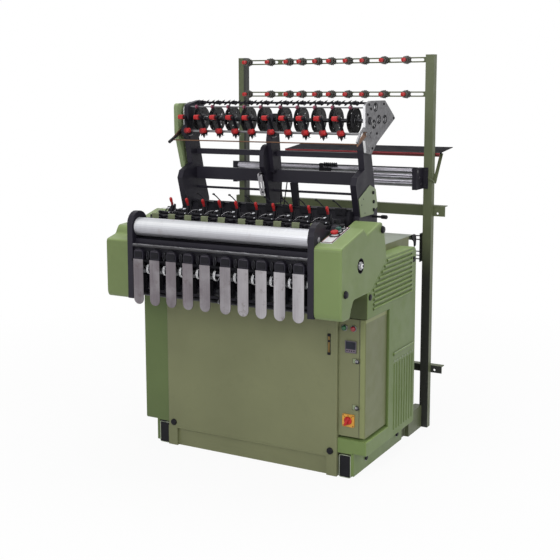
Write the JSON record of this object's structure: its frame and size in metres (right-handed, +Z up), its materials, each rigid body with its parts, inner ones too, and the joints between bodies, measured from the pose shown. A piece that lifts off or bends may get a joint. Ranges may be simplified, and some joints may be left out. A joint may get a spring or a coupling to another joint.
{
  "type": "needle loom",
  "caption": "Narrow-fabric needle loom with a row of weaving heads, a weft feeder, a yarn guide frame behind and a control box.",
  "frame": {"origin": "on the floor under the middle of the bounding box", "axes": "+Z up, +X to the right along the front, +Y from the front to the back"},
  "size_m": [1.281, 1.458, 1.98],
  "materials": {
    "green_paint": "semi-gloss machine paint",
    "olive_paint": "semi-gloss machine paint",
    "black_paint": "black machine paint",
    "bright_steel": "ground and plated",
    "cast_grey": "as cast",
    "red_plastic": "gloss",
    "yellow_plastic": "gloss",
    "white_plastic": "matte",
    "green_plastic": "gloss"
  },
  "bodies": {
    "frame": {"skid_left": "green_paint", "skid_right": "green_paint", "plinth": "green_paint", "front_panel": "green_paint", "cabinet": "olive_paint", "side_cover_left": "green_paint", "side_cover_right": "green_paint", "control_box": "green_paint", "isolator_plate": "yellow_plastic", "head_cover_left": "green_paint", "head_cover_right": "green_paint", "side_plate_left": "black_paint", "side_plate_right": "black_paint", "head_box": "black_paint", "weaving_bed": "black_paint", "reed_blocks": "olive_paint", "clamp_levers": "red_plastic", "front_beam": "black_paint", "guide_rod": "bright_steel", "guard_plates": "bright_steel", "button_panel": "white_plastic", "stand_left": "black_paint", "stand_center": "black_paint", "stand_right": "black_paint", "stand_cover": "green_paint", "mid_beam": "black_paint", "upper_beam": "black_paint", "tie_rod": "black_paint", "feed_gearbox": "black_paint", "gearbox_cover": "green_paint", "feed_end_plate": "cast_grey", "ring_rod": "bright_steel", "top_rod": "black_paint", "tension_bar": "bright_steel", "rear_post_left": "olive_paint", "rear_post_right": "olive_paint", "yarn_bar_upper": "olive_paint", "yarn_bar_lower": "olive_paint", "angle_bar": "olive_paint", "angle_bar_lower": "olive_paint", "lease_frame": "bright_steel", "roller_block_left": "black_paint", "roller_block_right": "black_paint", "tray": "black_paint"},
    "control_box_door_body": {"control_box_door": "green_paint"},
    "isolator_knob_body": {"isolator_knob": "red_plastic"},
    "stop_button_body": {"stop_button": "red_plastic"},
    "start_button_body": {"start_button": "green_plastic"},
    "jog_button_body": {"jog_button": "black_paint"},
    "front_roller_body": {"front_roller": "bright_steel"},
    "press_rollers_body": {"press_rollers": "bright_steel"},
    "weft_feed_shaft_body": {"weft_feed_shaft": "black_paint"},
    "pack_roller_1_body": {"pack_roller_1": "bright_steel"},
    "pack_roller_2_body": {"pack_roller_2": "bright_steel"},
    "pack_roller_3_body": {"pack_roller_3": "bright_steel"},
    "crank_shaft_body": {"crank_shaft": "bright_steel"},
    "stop_bail_body": {"stop_bail": "bright_steel"}
  },
  "joints": [
    {"name": "control_box_door_hinge", "type": "hinge", "parent": "frame", "child": "control_box_door_body", "pos_m": [0.5945, -0.161, 0.485], "axis": [0, 0, 1], "range_deg": [0, 90]},
    {"name": "isolator_turn", "type": "hinge", "parent": "frame", "child": "isolator_knob_body", "pos_m": [0.5135, -0.4188, 0.283], "axis": [0, -1, 0], "range_deg": [0, 90]},
    {"name": "stop_push", "type": "slide", "parent": "frame", "child": "stop_button_body", "axis": [0, 0.2358, -0.9718], "range_m": [0, 0.004], "stiffness_N_per_m": 400, "springref_m": -0.0005},
    {"name": "start_push", "type": "slide", "parent": "frame", "child": "start_button_body", "axis": [0, 0.2358, -0.9718], "range_m": [0, 0.004], "stiffness_N_per_m": 400, "springref_m": -0.0005},
    {"name": "jog_push", "type": "slide", "parent": "frame", "child": "jog_button_body", "axis": [0, 0.2358, -0.9718], "range_m": [0, 0.004], "stiffness_N_per_m": 400, "springref_m": -0.0005},
    {"name": "front_roller_spin", "type": "hinge", "parent": "frame", "child": "front_roller_body", "pos_m": [-0.0145, -0.667, 1.163], "axis": [1, 0, 0], "continuous": true},
    {"name": "press_rollers_spin", "type": "hinge", "parent": "frame", "child": "press_rollers_body", "pos_m": [-0.0145, -0.679, 0.965], "axis": [1, 0, 0], "continuous": true},
    {"name": "weft_feed_spin", "type": "hinge", "parent": "frame", "child": "weft_feed_shaft_body", "pos_m": [-0.0145, -0.154, 1.66], "axis": [1, 0, 0], "continuous": true},
    {"name": "pack_roller_1_spin", "type": "hinge", "parent": "frame", "child": "pack_roller_1_body", "pos_m": [-0.0145, 0.375, 1.384], "axis": [1, 0, 0], "continuous": true},
    {"name": "pack_roller_2_spin", "type": "hinge", "parent": "frame", "child": "pack_roller_2_body", "pos_m": [-0.0145, 0.401, 1.35], "axis": [1, 0, 0], "continuous": true},
    {"name": "pack_roller_3_spin", "type": "hinge", "parent": "frame", "child": "pack_roller_3_body", "pos_m": [-0.0145, 0.427, 1.316], "axis": [1, 0, 0], "continuous": true},
    {"name": "crank_shaft_spin", "type": "hinge", "parent": "frame", "child": "crank_shaft_body", "pos_m": [-0.0145, -0.512, 1.035], "axis": [1, 0, 0], "continuous": true},
    {"name": "stop_bail_swing", "type": "hinge", "parent": "frame", "child": "stop_bail_body", "pos_m": [-0.0145, -0.228, 1.601], "axis": [1, 0, 0], "range_deg": [-10, 10]}
  ]
}
